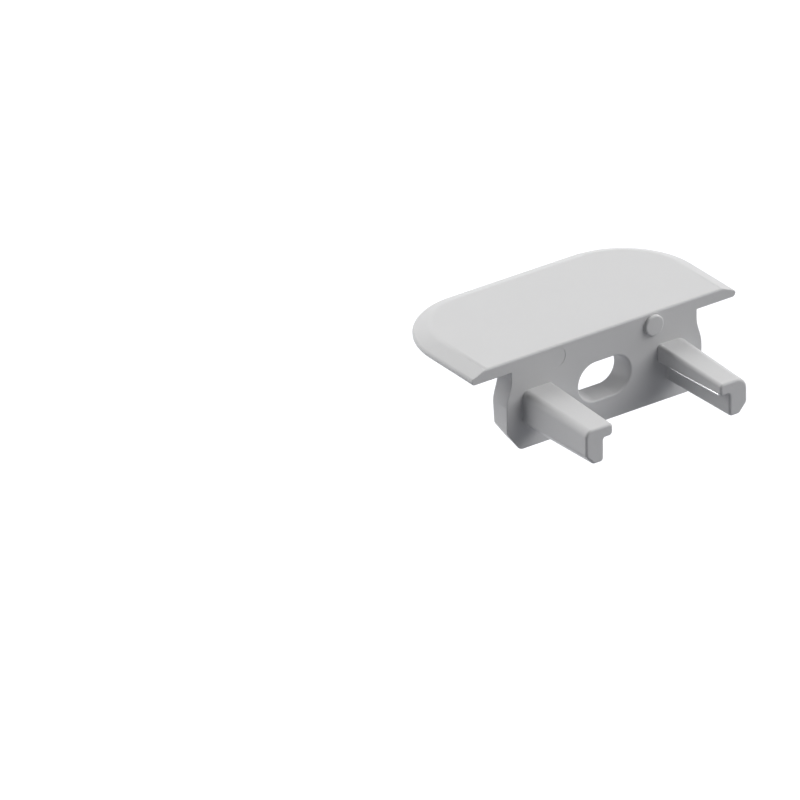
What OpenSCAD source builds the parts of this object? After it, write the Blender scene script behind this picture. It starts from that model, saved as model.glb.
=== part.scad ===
// End cap for a recessed channel profile: a bevelled flange that covers the end of the routed
// groove, a web that closes the channel, a cable slot and two drafted prongs that plug into it.
// Origin on the seat face of the web, in the middle of the flange's underside. The prongs point
// along -Y, into the channel, and the show face of the flange looks up along +Z.

/* [Flange] */
// Length of the flange, across the channel
flange_len = 24.6; // [23:0.1:30]
// Reach of the flange past the end of the channel
flange_reach = 12.1; // [8:0.1:18]
// Thickness of the flange
flange_t = 1.05; // [0.85:0.05:1.6]
// Slope of the bevel round the show face, in degrees
bevel_slope = 22.5; // [18:0.5:30]
// Radius of the rounded nose under the bevel
nose_r = 0.3; // [0.15:0.01:0.35]
// Radius that softens the crest between the bevel and the show face
crest_r = 1.2; // [0.3:0.1:1.5]
// Radius of the two outer corners
corner_r = 6.5; // [3:0.1:7.5]

/* [Web] */
// Width of the web below the swell
web_w = 18.2; // [17.6:0.1:20]
// Width of the neck under the flange
neck_w = 17.3; // [16:0.1:17.5]
// Thickness of the web
web_t = 2; // [1.5:0.1:4]
// Depth of the web below the flange
web_h = 6.75; // [6:0.05:9]
// Straight height of the neck
neck_h = 0.7; // [0.5:0.1:1.5]
// Height over which the neck swells to the web
swell_h = 2.3; // [1.5:0.1:2.5]
// Width of the cut at each lower corner
cut_w = 1.2; // [0.6:0.1:2]
// Height of the cut at each lower corner
cut_h = 1.65; // [0.8:0.05:2]
// Radius that softens both ends of the cut
cut_r = 0.5; // [0.1:0.05:0.8]

/* [Cable slot] */
// Length of the slot
slot_w = 5; // [4:0.1:7]
// Height of the slot
slot_h = 3.3; // [2.5:0.1:3.4]
// Draft of the slot's wall, which narrows to the back, in degrees
slot_draft = 4; // [1:0.5:6]
// Drop of the slot's axis below the flange
slot_drop = 3.25; // [2.5:0.05:3.5]

/* [Gate stub] */
// Diameter of the stub, and of the pin mark across from it
stub_d = 1.7; // [1:0.1:2]
// Height of the stub over the seat face
stub_h = 0.3; // [0.25:0.05:0.6]
// Radius round the stub's rim
stub_rim = 0.15; // [0.05:0.01:0.2]
// Offset of the stub from the middle
stub_x = 4.5; // [3.5:0.05:6]
// Gap between the stub and the flange's top
stub_gap = 0.15; // [0.05:0.05:0.3]
// Depth of the pin mark
mark_t = 0.05; // [0.02:0.01:0.1]

/* [Prongs] */
// Length of the prongs
prong_len = 7.85; // [4:0.05:12]
// Gap between the prongs at their tips
prong_gap = 10; // [8:0.1:10.5]
// Width of a prong at its tip
prong_w = 2.5; // [2:0.1:2.8]
// Height of a prong at its tip
prong_h = 2.95; // [2.5:0.05:3.2]
// Drop of the prong's top below the flange, at its tip
prong_drop = 2.05; // [1.6:0.05:2.4]
// Thickness of the upper arm at its tip
arm_t = 1; // [0.7:0.1:1.4]
// Thickness of the upright leg at its tip
leg_t = 1.65; // [1.1:0.05:1.8]
// Radius of the upper outer corner
shoulder_r = 1; // [0.3:0.1:1.2]
// Width of the cut at the lower outer corner
heel_w = 0.7; // [0.3:0.05:0.9]
// Height of the cut at the lower outer corner
heel_h = 0.8; // [0.3:0.05:1.2]
// Lead-in bevel round the tip
lead_in = 0.25; // [0.1:0.05:0.4]
// Draft of the top, in degrees
top_draft = 2.2; // [0.5:0.1:3]
// Draft of the outer side and the bottom, in degrees
outer_draft = 1.3; // [0.5:0.1:2]
// Draft of the inner side and the leg, in degrees
inner_draft = 0.6; // [0.3:0.1:1.5]
// Draft under the arm, in degrees
under_draft = 2.5; // [0.5:0.1:3]

/* [Hidden] */
plastic = [0.82, 0.82, 0.83];
$fn = 96;

corner_x = flange_len / 2 - corner_r;
corner_y = flange_reach - corner_r;
stub_z = flange_t - stub_gap - stub_d / 2;
prong_in = prong_gap / 2;
prong_out = prong_in + prong_w;
prong_top = -prong_drop;
prong_bottom = prong_top - prong_h;
edge_h = nose_r * (1 + (1 - sin(bevel_slope)) / cos(bevel_slope));
bevel_w = (flange_t - edge_h) / tan(bevel_slope);
crest_steps = 6; // straight steps that draw the crest's arc
nose_steps = 7; // straight steps that draw the nose's arc
swell_steps = 12; // straight steps that draw the swell
cut_steps = 5; // straight steps that draw the arc at each end of a cut
spare = 2; // how far a cutting shape runs past what it cuts

// Unit vector that points up, turned towards the edge by an angle
function turned(angle) = [sin(angle), cos(angle)];

// Section of the flange's rim, from a corner's centre out to the edge: an arc at the crest, the
// bevel, and a nose whose arc meets the bevel, the edge and the underside without a corner
module rim_profile() {
    crest_centre = [corner_r - bevel_w - crest_r * tan(bevel_slope / 2), flange_t - crest_r];
    nose_centre = [corner_r - nose_r, nose_r];
    crest = [
        for (i = [0:crest_steps])
            crest_centre + crest_r * turned(bevel_slope * i / crest_steps)
    ];
    nose = [
        for (i = [0:nose_steps])
            nose_centre + nose_r * turned(bevel_slope + (180 - bevel_slope) * i / nose_steps)
    ];
    polygon(concat([[0, flange_t]], crest, nose, [[0, 0]]));
}

// Half of the flange: a flat middle, and the rim along the outer edge, round the corner and
// along the end
module half_flange() {
    cube([corner_x, corner_y, flange_t]);
    translate([0, corner_y, 0])
        rotate([90, 0, 90])
            linear_extrude(corner_x)
                rim_profile();
    translate([corner_x, corner_y, 0])
        rotate_extrude(angle = 90)
            rim_profile();
    translate([corner_x, corner_y, 0])
        rotate([90, 0, 0])
            linear_extrude(corner_y)
                rim_profile();
}

// Points of the arc that rounds one corner of an outline
function rounded(before, corner, after, radius) =
    let (
        from = (before - corner) / norm(before - corner),
        to = (after - corner) / norm(after - corner),
        half_angle = acos(from * to) / 2,
        reach = radius / tan(half_angle),
        centre = corner + radius / sin(half_angle) * (from + to) / norm(from + to),
        first = corner + reach * from - centre,
        last = corner + reach * to - centre
    )
    [
        for (i = [0:cut_steps])
            let (spoke = first + (last - first) * i / cut_steps)
                centre + radius * spoke / norm(spoke)
    ];

// Web as seen from the channel: a straight neck, a smooth swell to full width, cut corners
module web_outline() {
    swell = (web_w - neck_w) / 2;
    side = [
        for (i = [0:swell_steps])
            let (t = i / swell_steps)
                [neck_w / 2 + swell * (1 - cos(180 * t)) / 2, -neck_h - swell_h * t]
    ];
    full = side[swell_steps];
    cut_top = [web_w / 2, cut_h - web_h];
    cut_end = [web_w / 2 - cut_w, -web_h];
    right = concat(
        [[neck_w / 2, 0]],
        side,
        rounded(full, cut_top, cut_end, cut_r),
        rounded(cut_top, cut_end, [0, -web_h], cut_r)
    );
    left = [for (i = [len(right) - 1:-1:0]) [-right[i][0], right[i][1]]];
    polygon(concat(right, left));
}

// Cable slot with full round ends, which narrows by its draft from the seat face to the back
module slot() {
    straight = slot_w - slot_h;
    front = -spare;
    back = web_t + spare;
    half_front = slot_h / 2 - front * tan(slot_draft);
    half_back = slot_h / 2 - back * tan(slot_draft);
    translate([-straight / 2, 0, -slot_drop])
        rotate([90, 0, 90])
            linear_extrude(straight)
                polygon([[front, -half_front], [back, -half_back], [back, half_back], [front, half_front]]);
    for (side = [-1, 1])
        translate([side * straight / 2, front, -slot_drop])
            rotate([-90, 0, 0])
                cylinder(h = back - front, r1 = half_front, r2 = half_back);
}

// Web: its outline stood up behind the seat face, with the cable slot through it
module web() {
    difference() {
        translate([0, web_t, 0])
            rotate([90, 0, 0])
                linear_extrude(web_t)
                    web_outline();
        slot();
    }
}

// Prism through an outline at the prong's tip, which opens sideways and upwards towards the web
module drafted(sideways, upwards)
    translate([0, -prong_len, 0])
        rotate([90 + upwards, 0, -sideways])
            linear_extrude(4 * prong_len, center = true)
                children();

// Outline along a prong, first coordinate across it, that narrows at 45 degrees to its tip
module tapered_strip(from, to) {
    wide_y = spare + lead_in - prong_len;
    polygon([
        [from - spare, web_t / 2],
        [from - spare, wide_y],
        [from + lead_in, -prong_len],
        [to - lead_in, -prong_len],
        [to + spare, wide_y],
        [to + spare, web_t / 2]
    ]);
}

// One prong: an upright leg under an arm that reaches inwards, all faces drafted from the tip
module prong() {
    difference() {
        intersection() {
            translate([0, 0, prong_bottom - spare])
                linear_extrude(prong_h + 2 * spare)
                    tapered_strip(prong_in, prong_out);
            translate([prong_out + spare, 0, 0])
                rotate([0, -90, 0])
                    linear_extrude(prong_w + 2 * spare)
                        tapered_strip(prong_bottom, prong_top);
            drafted(outer_draft, top_draft) {
                translate([0, prong_bottom - spare])
                    square([prong_out - shoulder_r, prong_h + spare]);
                translate([0, prong_bottom - spare])
                    square([prong_out, prong_h + spare - shoulder_r]);
                translate([prong_out - shoulder_r, prong_top - shoulder_r])
                    circle(shoulder_r);
            }
            drafted(outer_draft, -outer_draft)
                polygon([
                    [0, prong_top + spare],
                    [prong_out, prong_top + spare],
                    [prong_out, prong_bottom + heel_h],
                    [prong_out - heel_w, prong_bottom],
                    [0, prong_bottom]
                ]);
            drafted(-inner_draft, 0)
                translate([prong_in, prong_bottom - spare])
                    square([prong_w + spare, prong_h + 2 * spare]);
        }
        drafted(-inner_draft, -under_draft)
            translate([prong_in - spare, prong_bottom - spare])
                square([prong_w - leg_t + spare, prong_h - arm_t + spare]);
    }
}

// Gate stub: a low round disc with a rounded rim, standing on the seat face
module stub() {
    stub_r = stub_d / 2;
    translate([stub_x, 0, stub_z])
        rotate([90, 0, 0])
            rotate_extrude() {
                square([stub_r - stub_rim, stub_h]);
                square([stub_r, stub_h - stub_rim]);
                translate([stub_r - stub_rim, stub_h - stub_rim])
                    circle(stub_rim);
            }
}

module end_cap() {
    color(plastic)
        difference() {
            union() {
                half_flange();
                web();
                prong();
                mirror([1, 0, 0]) {
                    half_flange();
                    prong();
                }
                stub();
            }
            translate([-stub_x, mark_t, stub_z])
                rotate([90, 0, 0])
                    cylinder(h = mark_t + spare, d = stub_d);
        }
}

end_cap();
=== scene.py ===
import math
import bmesh
import bpy
from mathutils import Euler, Matrix, Vector


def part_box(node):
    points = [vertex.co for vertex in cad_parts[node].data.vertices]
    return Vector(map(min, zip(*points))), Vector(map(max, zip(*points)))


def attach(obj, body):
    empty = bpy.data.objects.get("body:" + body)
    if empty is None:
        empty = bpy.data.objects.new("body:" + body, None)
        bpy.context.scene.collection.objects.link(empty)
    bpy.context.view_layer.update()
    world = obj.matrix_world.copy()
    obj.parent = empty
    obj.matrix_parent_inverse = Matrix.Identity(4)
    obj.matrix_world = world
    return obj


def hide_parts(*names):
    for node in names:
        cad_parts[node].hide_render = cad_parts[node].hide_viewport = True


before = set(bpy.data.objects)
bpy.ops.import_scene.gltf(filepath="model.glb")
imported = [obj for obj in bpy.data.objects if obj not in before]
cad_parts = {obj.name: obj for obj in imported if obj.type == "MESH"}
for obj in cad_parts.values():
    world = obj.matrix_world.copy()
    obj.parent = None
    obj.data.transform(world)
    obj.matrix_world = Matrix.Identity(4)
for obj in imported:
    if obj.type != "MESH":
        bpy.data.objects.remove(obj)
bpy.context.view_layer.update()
print("frame loaded")

# The cap is modelled in millimetres and brought to metres when it is whole.
millimetre = 0.001
nodeLow, nodeHigh = [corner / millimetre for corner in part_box("end_cap")]
tiny = 0.0005  # how near a place has to be, in millimetres
cutTolerance = tiny / 10  # how near a vert has to be for a cut to go through it
alongAxis = 0.98  # least share of an edge or a normal that lies along its axis
flatWithin = 0.2  # degrees between faces that are merged as one
smoothBelow = 32  # degrees between faces that shade as one


# Picking and shaping

def leaveEditing():
    if bpy.context.mode != "OBJECT":
        bpy.ops.object.mode_set(mode="OBJECT")
    bpy.ops.object.select_all(action="DESELECT")


def startEditing(piece):
    leaveEditing()
    bpy.context.view_layer.objects.active = piece
    piece.select_set(True)
    bpy.ops.object.mode_set(mode="EDIT")


def pick(kind, test):
    # selects the verts, edges or faces that pass a test
    modes = {"verts": "VERT", "edges": "EDGE", "faces": "FACE"}
    bpy.ops.mesh.select_mode(type=modes[kind])
    bpy.ops.mesh.select_all(action="DESELECT")
    shape = bmesh.from_edit_mesh(bpy.context.object.data)
    for element in getattr(shape, kind):
        element.select_set(test(element))
    shape.select_flush_mode()
    bmesh.update_edit_mesh(bpy.context.object.data)


def near(value, target):
    return abs(value - target) < tiny


def middleOf(edge):
    return (edge.verts[0].co + edge.verts[1].co) / 2


def runsAlong(edge, axis):
    step = edge.verts[1].co - edge.verts[0].co
    return abs(step[axis]) > alongAxis * step.length


def mergeDoubles():
    bpy.ops.mesh.select_all(action="SELECT")
    bpy.ops.mesh.remove_doubles(threshold=tiny)


def mergeFlatFaces():
    bpy.ops.mesh.select_all(action="SELECT")
    bpy.ops.mesh.dissolve_limited(angle_limit=math.radians(flatWithin))


def faceOutwards():
    bpy.ops.mesh.select_all(action="SELECT")
    bpy.ops.mesh.normals_make_consistent(inside=False)


def applyPlace():
    bpy.ops.object.transform_apply(location=True, rotation=True, scale=True)


def addBox(name, start, end):
    leaveEditing()
    start, end = Vector(start), Vector(end)
    bpy.ops.mesh.primitive_cube_add(size=1, location=(start + end) / 2, scale=end - start)
    applyPlace()
    bpy.context.object.name = name
    return bpy.context.object


def cutAcross(point, normal, **settings):
    bpy.ops.mesh.select_all(action="SELECT")
    outwards = Vector(normal).normalized()  # bisect takes no component above 1
    bpy.ops.mesh.bisect(plane_co=point, plane_no=outwards, threshold=cutTolerance, **settings)


def combine(base, other, how):
    # joins or cuts with another piece, which is used up
    leaveEditing()
    bpy.context.view_layer.objects.active = base
    joiner = base.modifiers.new("combine", "BOOLEAN")
    joiner.operation = how
    joiner.solver = "EXACT"
    joiner.object = other
    bpy.ops.object.modifier_apply(modifier=joiner.name)
    bpy.data.objects.remove(other)


def mirrored(piece, name):
    leaveEditing()
    piece.select_set(True)
    bpy.context.view_layer.objects.active = piece
    bpy.ops.object.duplicate()
    twin = bpy.context.object
    twin.name = name
    bpy.ops.transform.resize(value=(-1, 1, 1), center_override=(0, 0, 0))
    applyPlace()
    startEditing(twin)
    faceOutwards()
    leaveEditing()
    return twin


def finishPiece(piece, name):
    # brings a whole piece to metres and shades it
    startEditing(piece)
    bpy.ops.mesh.select_all(action="SELECT")
    bpy.ops.transform.resize(value=(millimetre,) * 3, center_override=(0, 0, 0))
    faceOutwards()
    leaveEditing()
    piece.select_set(True)
    bpy.ops.object.shade_smooth_by_angle(angle=math.radians(smoothBelow))
    piece.name = piece.data.name = name


# Flange: its far corners are rounded, then its top is inset and raised to a bevelled rim

flangeSizes = {
    "bevelSlope": 22.5,  # degrees
    "noseRadius": 0.3,
    "noseSteps": 6,
    "crestWidth": 0.24,  # rounding to each side of the crest
    "crestSteps": 6,
    "cornerRadius": 6.5,
    "cornerSteps": 32,
    "spareFront": 4,  # made too long at the front and cut off at the seat face
}


def makeFlange():
    sizes = flangeSizes
    slope = math.radians(sizes["bevelSlope"])
    upperNose = sizes["noseRadius"] * (1 - math.sin(slope)) / math.cos(slope)
    edgeHeight = sizes["noseRadius"] + upperNose
    bevelHeight = nodeHigh.z - edgeHeight
    flange = addBox(
        "flange",
        (nodeLow.x, -sizes["spareFront"], 0),
        (nodeHigh.x, nodeHigh.y, edgeHeight),
    )
    startEditing(flange)
    pick("edges", lambda edge: runsAlong(edge, 2) and middleOf(edge).y > 0)
    bpy.ops.mesh.bevel(offset=sizes["cornerRadius"], segments=sizes["cornerSteps"])
    pick("faces", lambda face: face.normal.z > alongAxis)
    bpy.ops.mesh.inset(thickness=bevelHeight / math.tan(slope), depth=bevelHeight)
    for level, width, steps in (
        (nodeHigh.z, sizes["crestWidth"], sizes["crestSteps"]),
        (edgeHeight, upperNose, sizes["noseSteps"]),
        (0, sizes["noseRadius"], sizes["noseSteps"]),
    ):
        pick("edges", lambda edge: all(near(end.co.z, level) for end in edge.verts))
        bpy.ops.mesh.bevel(offset=width, segments=steps)
    mergeDoubles()
    leaveEditing()
    return flange


# Web: a plate that swells below its neck, with cut lower corners

webSizes = {
    "width": 18.2,
    "neckWidth": 17.3,
    "thickness": 2,
    "neckHeight": 0.7,
    "swellHeight": 2.3,
    "swellSteps": 12,
    "cutWidth": 1.2,
    "cutHeight": 1.65,
    "cutRadius": 0.5,
    "cutSteps": 8,
    "backRound": 0.3,
    "backSteps": 5,
    "riseFrom": 0.15,  # behind the seat face, where the underside starts to rise
    "backRise": 0.35,  # how far it has risen at the back
    "backShrink": 0.99,  # how much its corners have drawn in there
    "sunk": 0.5,  # how far it runs up into the flange
    "spareFront": 3,  # cut off with the flange's
}


def makeWeb():
    sizes = webSizes
    half = sizes["width"] / 2
    neckHalf = sizes["neckWidth"] / 2
    web = addBox(
        "web", (-half, -sizes["spareFront"], nodeLow.z), (half, sizes["thickness"], sizes["sunk"]))
    startEditing(web)
    reaches = {sizes["sunk"]: neckHalf}
    for step in range(sizes["swellSteps"] + 1):
        share = step / sizes["swellSteps"]
        level = -sizes["neckHeight"] - sizes["swellHeight"] * share
        reaches[level] = neckHalf + (half - neckHalf) * (1 - math.cos(math.pi * share)) / 2
        cutAcross((0, 0, level), (0, 0, 1))
    for level, reach in reaches.items():
        pick("verts", lambda vert: near(vert.co.z, level))
        bpy.ops.transform.resize(value=(reach / half, 1, 1), center_override=(0, 0, 0))
    for side in (-1, 1):
        corner = (side * half, 0, nodeLow.z + sizes["cutHeight"])
        outwards = (side * sizes["cutHeight"], 0, -sizes["cutWidth"])
        cutAcross(corner, outwards, clear_outer=True, use_fill=True)
    turn = math.atan2(sizes["cutWidth"], sizes["cutHeight"])
    cutEnds = (
        (half, nodeLow.z + sizes["cutHeight"], turn),
        (half - sizes["cutWidth"], nodeLow.z, math.pi / 2 - turn),
    )
    for endX, endZ, bend in cutEnds:
        pick("edges", lambda edge: runsAlong(edge, 1)
             and near(abs(middleOf(edge).x), endX) and near(middleOf(edge).z, endZ))
        bpy.ops.mesh.bevel(offset=sizes["cutRadius"] * math.tan(bend / 2), segments=sizes["cutSteps"])
    mergeFlatFaces()
    cutAcross((0, sizes["riseFrom"], 0), (0, 1, 0))
    cutTop = nodeLow.z + sizes["cutHeight"] + sizes["cutRadius"]
    pick("verts", lambda vert: near(vert.co.y, sizes["thickness"]) and vert.co.z < cutTop)
    bpy.ops.transform.resize(value=(sizes["backShrink"], 1, 1), center_override=(0, 0, 0))
    bpy.ops.transform.translate(value=(0, 0, sizes["backRise"]))
    pick("edges", lambda edge: all(near(end.co.y, sizes["thickness"]) for end in edge.verts)
         and not near(middleOf(edge).z, sizes["sunk"]))
    bpy.ops.mesh.bevel(offset=sizes["backRound"], segments=sizes["backSteps"])
    leaveEditing()
    return web


# Cable slot through the web, with full round ends

slotSizes = {
    "length": 4.85,
    "height": 3.25,
    "drop": 3.17,
    "draft": 4.5,  # degrees, narrower to the back
    "roundSteps": 20,
    "frontRimRound": 0.15,
    "backRimRound": 0.1,
    "rimSteps": 4,
    "rimTurn": 80,  # degrees of each rim's arc, after which it runs straight out
    "spare": 0.05,  # how far the cutter stands out of the web
}


def makeSlotCutter():
    # it widens to both ends, so that it rounds the rims as it cuts
    sizes = slotSizes
    halfLength, halfHeight = sizes["length"] / 2, sizes["height"] / 2
    turn, spare, thickness = math.radians(sizes["rimTurn"]), sizes["spare"], webSizes["thickness"]
    front, back = -spare, thickness + spare
    cutter = addBox(
        "slotCutter",
        (-halfLength, front, -sizes["drop"] - halfHeight),
        (halfLength, back, -sizes["drop"] + halfHeight),
    )
    startEditing(cutter)
    pick("edges", lambda edge: runsAlong(edge, 1))
    bpy.ops.mesh.bevel(offset=halfHeight, segments=sizes["roundSteps"])
    mergeDoubles()
    widenings = {}
    rims = ((0, 1, sizes["frontRimRound"]), (thickness, -1, sizes["backRimRound"]))
    for face, inwards, radius in rims:
        for step in range(sizes["rimSteps"] + 1):
            angle = turn * step / sizes["rimSteps"]
            depth = face + inwards * radius * (1 - math.sin(angle))
            widenings[depth] = radius * (1 - math.cos(angle))
            cutAcross((0, depth, 0), (0, 1, 0))
        pastArc = spare + radius * (1 - math.sin(turn))
        widenings[face - inwards * spare] = widenings[depth] + pastArc * math.tan(turn)
    for depth, widening in widenings.items():
        reach = halfHeight - depth * math.tan(math.radians(sizes["draft"])) + widening
        scale = (reach / halfHeight, 1, reach / halfHeight)
        for side in (-1, 1):
            centreX = side * (halfLength - halfHeight)
            pick("verts", lambda vert: near(vert.co.y, depth)
                 and side * (vert.co.x - centreX) > -tiny)
            bpy.ops.transform.resize(value=scale, center_override=(centreX, depth, -sizes["drop"]))
    leaveEditing()
    return cutter


# Body: flange and web in one, with a common front that is cut flat and rounded along its outline

frontSizes = {
    "round": 0.07,
    "steps": 3,
    "topRound": 0.2,  # wider, along the edge of the show face
    "topSteps": 20,  # round the whole circle
    "clear": 0.002,  # keeps the cutter's ends off the faces that it meets
    "overhang": 1,  # how far the cutter runs past the cap
}


def makeTopRounder():
    sizes = frontSizes
    radius, clear, overhang = sizes["topRound"], sizes["clear"], sizes["overhang"]
    centreY, centreZ = radius - clear, nodeHigh.z - radius + clear
    rounder = addBox(
        "topRounder",
        (nodeLow.x - overhang, -overhang, centreZ),
        (nodeHigh.x + overhang, centreY, nodeHigh.z + overhang),
    )
    bpy.ops.mesh.primitive_cylinder_add(
        vertices=sizes["topSteps"], radius=radius, depth=nodeHigh.x - nodeLow.x + 4 * overhang,
        location=(0, centreY, centreZ), rotation=(0, math.pi / 2, 0))
    applyPlace()
    combine(rounder, bpy.context.object, "DIFFERENCE")
    return rounder


def makeBody():
    sizes = frontSizes
    body = makeFlange()
    combine(body, makeWeb(), "UNION")
    startEditing(body)
    mergeDoubles()
    mergeFlatFaces()
    cutAcross((0, 0, 0), (0, 1, 0), clear_inner=True, use_fill=True)
    pick("edges", lambda edge: all(near(end.co.y, 0) for end in edge.verts))
    bpy.ops.mesh.bevel(offset=sizes["round"], segments=sizes["steps"])
    combine(body, makeTopRounder(), "DIFFERENCE")
    combine(body, makeSlotCutter(), "DIFFERENCE")
    return body


# Prongs: the section is shaped flat at the tip, drawn back into the web and opened by its drafts

prongSizes = {
    "inside": 5,  # from the middle to the arm's free end
    "width": 2.5,
    "height": 2.95,
    "drop": 2.05,  # of the top below the flange
    "armThickness": 1,
    "legThickness": 1.65,
    "rightShoulder": 0.95,  # radius of the upper outer corner
    "leftShoulder": 0.6,  # it looks crisper on the left prong
    "shoulderSteps": 10,
    "heelWidth": 0.7,
    "heelHeight": 0.8,
    "heelRound": 0.15,
    "edgeRound": 0.3,
    "notchRound": 0.2,
    "edgeRoundSteps": 5,
    "leadIn": 0.2,
    "leadInSteps": 3,
    "topDraft": 1.4,  # degrees
    "outerDraft": 1.3,  # degrees, outer side and bottom
    "innerDraft": 0.6,  # degrees, arm's end and leg's inner side
    "underDraft": 2.5,  # degrees, under the arm
    "sunk": 1,  # how far it runs back into the web
}


def makeProng(shoulderRadius):
    sizes = prongSizes
    left, right = sizes["inside"], sizes["inside"] + sizes["width"]
    top = -sizes["drop"]
    bottom = top - sizes["height"]
    legInside = right - sizes["legThickness"]
    armUnder = top - sizes["armThickness"]
    leaveEditing()
    bpy.ops.mesh.primitive_plane_add(
        size=1, location=((left + right) / 2, nodeLow.y, (top + bottom) / 2),
        rotation=(math.pi / 2, 0, 0))
    prong = bpy.context.object
    prong.name = "prong"
    bpy.ops.transform.resize(value=(sizes["width"], 1, sizes["height"]))
    applyPlace()
    startEditing(prong)

    # section: the notch under the arm, the cut heel and the rounded corners
    cutAcross((legInside, 0, 0), (1, 0, 0))
    cutAcross((0, 0, armUnder), (0, 0, 1))
    pick("faces", lambda face: face.calc_center_median().x < legInside
         and face.calc_center_median().z < armUnder)
    bpy.ops.mesh.delete(type="FACE")
    heelFrom = (right - sizes["heelWidth"], 0, bottom)
    heelOut = (sizes["heelHeight"], 0, -sizes["heelWidth"])
    cutAcross(heelFrom, heelOut, clear_outer=True)
    mergeFlatFaces()
    roundings = (
        (right, top, shoulderRadius, sizes["shoulderSteps"]),
        (left, top, sizes["edgeRound"], sizes["edgeRoundSteps"]),
        (left, armUnder, sizes["edgeRound"], sizes["edgeRoundSteps"]),
        (legInside, armUnder, sizes["notchRound"], sizes["edgeRoundSteps"]),
        (legInside, bottom, sizes["edgeRound"], sizes["edgeRoundSteps"]),
        (right - sizes["heelWidth"], bottom, sizes["heelRound"], sizes["edgeRoundSteps"]),
        (right, bottom + sizes["heelHeight"], sizes["heelRound"], sizes["edgeRoundSteps"]),
    )
    for cornerX, cornerZ, radius, steps in roundings:
        pick("verts", lambda vert: near(vert.co.x, cornerX) and near(vert.co.z, cornerZ))
        bpy.ops.mesh.bevel(affect="VERTICES", offset=radius, segments=steps)

    # drawn back from the tip into the web
    length = sizes["sunk"] - nodeLow.y
    faceOutwards()
    bpy.ops.mesh.extrude_region_move(TRANSFORM_OT_translate={"value": (0, length, 0)})
    opensUp = length * math.tan(math.radians(sizes["topDraft"]))
    opens = length * math.tan(math.radians(sizes["outerDraft"]))
    opensInside = length * math.tan(math.radians(sizes["innerDraft"]))
    opensUnder = length * math.tan(math.radians(sizes["underDraft"]))
    clear = sizes["edgeRound"] + tiny
    moves = (
        (lambda vert: vert.co.x > legInside + clear, (opens, 0, 0)),
        (lambda vert: vert.co.x <= legInside + clear, (-opensInside, 0, 0)),
        (lambda vert: vert.co.z > armUnder + clear, (0, 0, opensUp)),
        (lambda vert: vert.co.z < bottom + sizes["heelHeight"] + clear, (0, 0, -opens)),
        (lambda vert: armUnder - clear < vert.co.z <= armUnder + clear
         and vert.co.x < legInside + clear, (0, 0, -opensUnder)),
    )
    for belongs, move in moves:
        pick("verts", lambda vert: vert.co.y > 0 and belongs(vert))
        bpy.ops.transform.translate(value=move)
    faceOutwards()
    pick("edges", lambda edge: all(near(end.co.y, nodeLow.y) for end in edge.verts))
    bpy.ops.mesh.bevel(offset=sizes["leadIn"], segments=sizes["leadInSteps"])
    leaveEditing()
    return prong


# Flash: a fine ridge that the mould leaves along the lower edge of each prong's arm; its light line
# is a painted glint, set in its material

flashSizes = {
    "radius": 0.07,
    "inset": 0.08,  # from the edge's corner to the ridge's middle
    "sides": 12,
    "start": 0.4,  # behind the tip
    "end": 6.2,
}


def makeFlash():
    # runs back along the edge, which draws in and drops by its drafts
    sizes = flashSizes
    leaveEditing()
    corner = Vector(
        (prongSizes["inside"], nodeLow.y, -prongSizes["drop"] - prongSizes["armThickness"]))
    middle = corner + Vector((sizes["inset"], 0, sizes["inset"]))
    aside = math.tan(math.radians(prongSizes["innerDraft"]))
    down = math.tan(math.radians(prongSizes["underDraft"]))
    start, end = [middle + Vector((-aside, 1, -down)) * sizes[key] for key in ("start", "end")]
    run = end - start
    bpy.ops.mesh.primitive_cylinder_add(
        vertices=sizes["sides"], radius=sizes["radius"], depth=run.length,
        location=(start + end) / 2, rotation=run.to_track_quat("Z", "Y").to_euler())
    applyPlace()
    flash = bpy.context.object
    twin = mirrored(flash, "leftFlash")
    flash.select_set(True)
    twin.select_set(True)
    bpy.context.view_layer.objects.active = flash
    bpy.ops.object.join()
    finishPiece(flash, "mouldFlashGlint")
    return flash


# Gate stub, and the pin mark across from it, on the seat face

stubSizes = {
    "radius": 0.85,
    "height": 0.3,
    "rimRound": 0.15,
    "rimSteps": 4,
    "aside": 4.5,
    "gap": 0.2,  # between the stub and the flange's top
    "markDepth": 0.02,
    "steps": 64,
    "spare": 1,  # how far the stub runs into the web, and the mark's cutter out of it
}


def addDisc(name, across, front, back):
    sizes = stubSizes
    leaveEditing()
    level = nodeHigh.z - sizes["gap"] - sizes["radius"]
    bpy.ops.mesh.primitive_cylinder_add(
        vertices=sizes["steps"], radius=sizes["radius"], depth=back - front,
        location=(across, (front + back) / 2, level), rotation=(math.pi / 2, 0, 0))
    applyPlace()
    bpy.context.object.name = name
    return bpy.context.object


def makeStub():
    sizes = stubSizes
    stub = addDisc("stub", sizes["aside"], -sizes["height"], sizes["spare"])
    startEditing(stub)
    pick("edges", lambda edge: all(near(end.co.y, -sizes["height"]) for end in edge.verts))
    bpy.ops.mesh.bevel(offset=sizes["rimRound"], segments=sizes["rimSteps"])
    leaveEditing()
    return stub


def makeMarkCutter():
    sizes = stubSizes
    return addDisc("pinMark", -sizes["aside"], -sizes["spare"], sizes["markDepth"])


# The whole cap

def makeCap():
    cap = makeBody()
    combine(cap, makeProng(prongSizes["rightShoulder"]), "UNION")
    plain = makeProng(prongSizes["leftShoulder"])
    leftProng = mirrored(plain, "leftProng")
    bpy.data.objects.remove(plain)
    combine(cap, leftProng, "UNION")
    combine(cap, makeStub(), "UNION")
    combine(cap, makeMarkCutter(), "DIFFERENCE")

    startEditing(cap)
    mergeDoubles()
    finishPiece(cap, "capShell")
    evener = cap.modifiers.new("flatFacesLead", "WEIGHTED_NORMAL")
    evener.keep_sharp = True
    bpy.ops.object.modifier_apply(modifier=evener.name)
    return cap


# Shader maths written as sums

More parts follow.
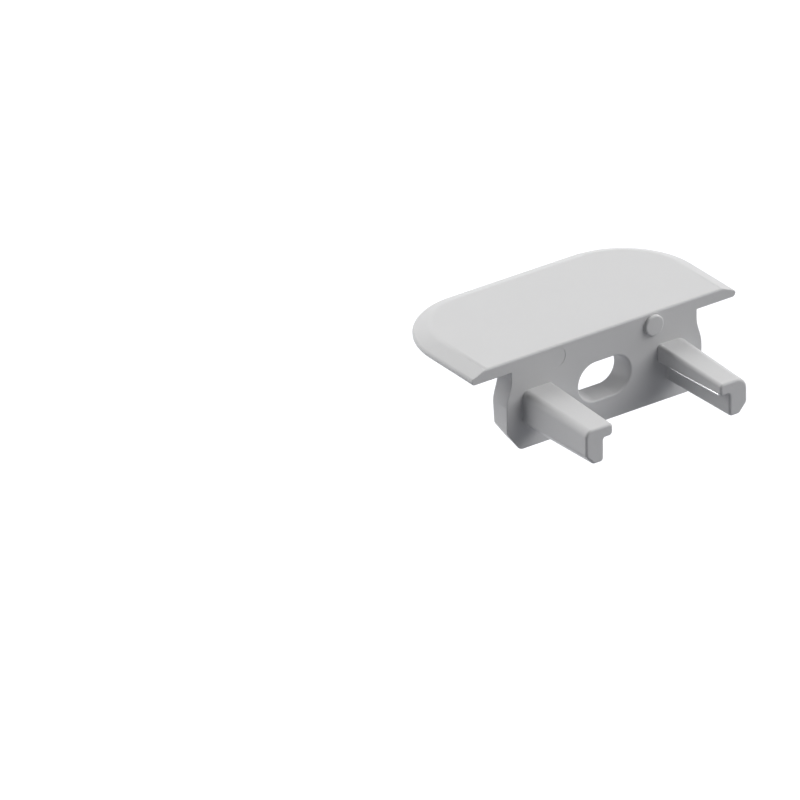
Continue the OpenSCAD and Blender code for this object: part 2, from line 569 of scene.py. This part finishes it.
class Wire:
    def __init__(self, sheet, socket):
        self.sheet = sheet
        self.socket = socket

    def maths(self, operation, first, second):
        return self.sheet.node("ShaderNodeMath", {"operation": operation}, {0: first, 1: second})

    def __add__(self, other):
        return self.maths("ADD", self, other)

    def __sub__(self, other):
        return self.maths("SUBTRACT", self, other)

    def __rsub__(self, other):
        return self.maths("SUBTRACT", other, self)

    def __mul__(self, other):
        return self.maths("MULTIPLY", self, other)

    __radd__ = __add__
    __rmul__ = __mul__


class Sheet:
    def __init__(self, name, holder=None):
        self.holder = holder or bpy.data.materials.new(name)
        self.holder.use_nodes = True
        self.tree = self.holder.node_tree
        self.tree.nodes.clear()

    def node(self, kind, settings=None, inputs=None, output=0):
        made = self.tree.nodes.new(kind)
        for key, value in (settings or {}).items():
            setattr(made, key, value)
        for key, value in (inputs or {}).items():
            if isinstance(value, Wire):
                self.tree.links.new(value.socket, made.inputs[key])
            else:
                made.inputs[key].default_value = value
        return Wire(self, made.outputs[output] if made.outputs else None)

    def mixColour(self, share, first, second):
        return self.node(
            "ShaderNodeMix", {"data_type": "RGBA"}, {"Factor": share, 6: first, 7: second}, output=2)

    def noise(self, place, settings):
        scale, detail, roughness = settings
        return self.node(
            "ShaderNodeTexNoise", None,
            {"Vector": place, "Scale": scale, "Detail": detail, "Roughness": roughness})


# Satin grey plastic, with a fine moulded texture

noiseMiddle = 0.5  # about which a noise's values lie

plasticLook = {
    "light": (0.61, 0.61, 0.613, 1),
    "dark": (0.57, 0.57, 0.573, 1),
    # noises: scale per metre, detail, roughness
    "clouds": (260, 3, 0.55),  # slow changes of tone
    "pits": (1900, 4, 0.65),
    "grain": (5200, 2, 0.6),  # the moulded texture
    # shares of each noise in the tone and in the relief
    "cloudTone": 0.45,
    "pitTone": 0.35,
    "grainTone": 0.2,
    "pitRelief": 0.4,
    "grainRelief": 0.6,
    "roughness": 0.4,
    "roughnessSpread": 0.06,
    "mirror": 0.3,  # below the usual 0.5, so that far edges don't shine at a flat angle
    "grainHeight": 0.000004,  # metres
}


def plasticMaterial():
    look = plasticLook
    sheet = Sheet("satinGreyPlastic")
    place = sheet.node("ShaderNodeTexCoord", output="Object")
    clouds, pits, grain = [sheet.noise(place, look[name]) for name in ("clouds", "pits", "grain")]
    tone = clouds * look["cloudTone"] + pits * look["pitTone"] + grain * look["grainTone"]
    colour = sheet.mixColour(tone, look["dark"], look["light"])
    roughness = look["roughness"] + (pits - noiseMiddle) * look["roughnessSpread"]
    relief = grain * look["grainRelief"] + pits * look["pitRelief"]
    bump = sheet.node(
        "ShaderNodeBump", None, {"Height": relief, "Strength": 1, "Distance": look["grainHeight"]})
    surface = sheet.node(
        "ShaderNodeBsdfPrincipled", None,
        {"Base Color": colour, "Roughness": roughness, "Specular IOR Level": look["mirror"],
         "Normal": bump})
    sheet.node("ShaderNodeOutputMaterial", None, {"Surface": surface})
    return sheet.holder


# Flash: near white and part metal, a painted glint, so that it draws a light line

flashGlintLook = {
    # near white and part metal: a painted glint along the arm's lower edge
    "colour": (0.95, 0.95, 0.96, 1),
    "roughness": 0.25,
    "shine": 0.6,  # how much it mirrors
}


def flashGlintMaterial():
    look = flashGlintLook
    sheet = Sheet("paintedGlintFlash")
    surface = sheet.node(
        "ShaderNodeBsdfPrincipled", None,
        {"Base Color": look["colour"], "Roughness": look["roughness"], "Metallic": look["shine"]})
    sheet.node("ShaderNodeOutputMaterial", None, {"Surface": surface})
    return sheet.holder


# Studio: a pale floor well below the cap, soft lamps, and a white surround that only the camera
# and reflections see

studioLook = {
    "floorLevel": -0.03,
    "floorSize": 3,
    "floorColour": (0.28, 0.287, 0.312, 1),  # what bounces up from it
    "floorWhite": 0.83,  # added for the camera and for reflections
    "lampDistance": 0.8,
    "lampSize": 0.9,
}
lampSettings = {
    # name: degrees from +X towards +Y, degrees up, watts
    "right": (0, 38, 3.6),
    "back": (90, 38, 2),
    "backLeft": (135, 25, 5.6),
    "frontRight": (315, 38, 4.75),
}


def seenRays(sheet):
    # 1 for camera rays and for reflected or transmitted ones, 0 for the rays that light surfaces
    cameraRay = sheet.node("ShaderNodeLightPath", output="Is Camera Ray")
    glossyRay = sheet.node("ShaderNodeLightPath", output="Is Glossy Ray")
    clearRay = sheet.node("ShaderNodeLightPath", output="Is Transmission Ray")
    return cameraRay + glossyRay + clearRay


def makeStudio():
    look = studioLook
    leaveEditing()
    bpy.ops.mesh.primitive_plane_add(size=look["floorSize"], location=(0, 0, look["floorLevel"]))
    applyPlace()
    floor = bpy.context.object
    floor.name = "floor"
    sheet = Sheet("paleFloor")
    matt = sheet.node("ShaderNodeBsdfDiffuse", None, {"Color": look["floorColour"]})
    white = sheet.node("ShaderNodeEmission", None, {"Strength": seenRays(sheet) * look["floorWhite"]})
    both = sheet.node("ShaderNodeAddShader", None, {0: matt, 1: white})
    sheet.node("ShaderNodeOutputMaterial", None, {"Surface": both})
    floor.data.materials.append(sheet.holder)

    world = bpy.data.worlds.new("surround")
    bpy.context.scene.world = world
    sky = Sheet("surround", world)
    background = sky.node(
        "ShaderNodeBackground", None, {"Color": (1, 1, 1, 1), "Strength": seenRays(sky)})
    sky.node("ShaderNodeOutputWorld", None, {"Surface": background})

    for name, (turn, height, watts) in lampSettings.items():
        leaveEditing()
        towards = Vector((look["lampDistance"], 0, 0))
        towards.rotate(Euler((0, -math.radians(height), math.radians(turn))))
        aim = (-towards).to_track_quat("-Z", "Y").to_euler()
        bpy.ops.object.light_add(type="AREA", location=towards, rotation=aim)
        lamp = bpy.context.object
        lamp.name = name
        lamp.data.energy = watts
        lamp.data.shape = "DISK"
        lamp.data.size = look["lampSize"]


# Camera: turned round the cap and tipped down as in the photograph

cameraView = {
    "turn": 35.077,  # degrees
    "tip": 27.794,
    "roll": -0.818,
    "distance": 0.8994,  # metres
    "capAside": 0.015388,  # the cap's origin beside and above the line of sight
    "capAbove": 0.004425,
    "lens": 538.6,  # millimetres, as is the sensor
    "sensor": 36,
    "nearest": 0.01,
    "farthest": 10,
}


def placeCamera():
    view = cameraView
    turn, tip, roll = [math.radians(view[key]) for key in ("turn", "tip", "roll")]
    ahead = Vector((math.sin(turn) * math.cos(tip), math.cos(turn) * math.cos(tip), -math.sin(tip)))
    across = Vector((math.cos(turn), -math.sin(turn), 0))
    upwards = across.cross(ahead)
    rolledAcross = across * math.cos(roll) + upwards * math.sin(roll)
    rolledUp = upwards * math.cos(roll) - across * math.sin(roll)
    place = -(
        rolledAcross * view["capAside"] + rolledUp * view["capAbove"] + ahead * view["distance"])
    leaveEditing()
    bpy.ops.object.camera_add()
    camera = bpy.context.object
    turned = Matrix((rolledAcross, rolledUp, -ahead)).transposed().to_4x4()
    camera.matrix_world = Matrix.Translation(place) @ turned
    camera.data.sensor_width = view["sensor"]
    camera.data.lens = view["lens"]
    camera.data.clip_start = view["nearest"]
    camera.data.clip_end = view["farthest"]
    bpy.context.scene.camera = camera


placeCamera()
print("camera placed")
capShell = makeCap()
capShell.data.materials.clear()
capShell.data.materials.append(plasticMaterial())
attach(capShell, "root")
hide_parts("end_cap")
print("cap modelled:", len(capShell.data.polygons), "faces")
flash = makeFlash()
flash.data.materials.append(flashGlintMaterial())
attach(flash, "root")
print("flash added:", len(flash.data.polygons), "faces")
makeStudio()
print("studio lit")

scene = bpy.context.scene
scene.view_settings.view_transform = "Standard"
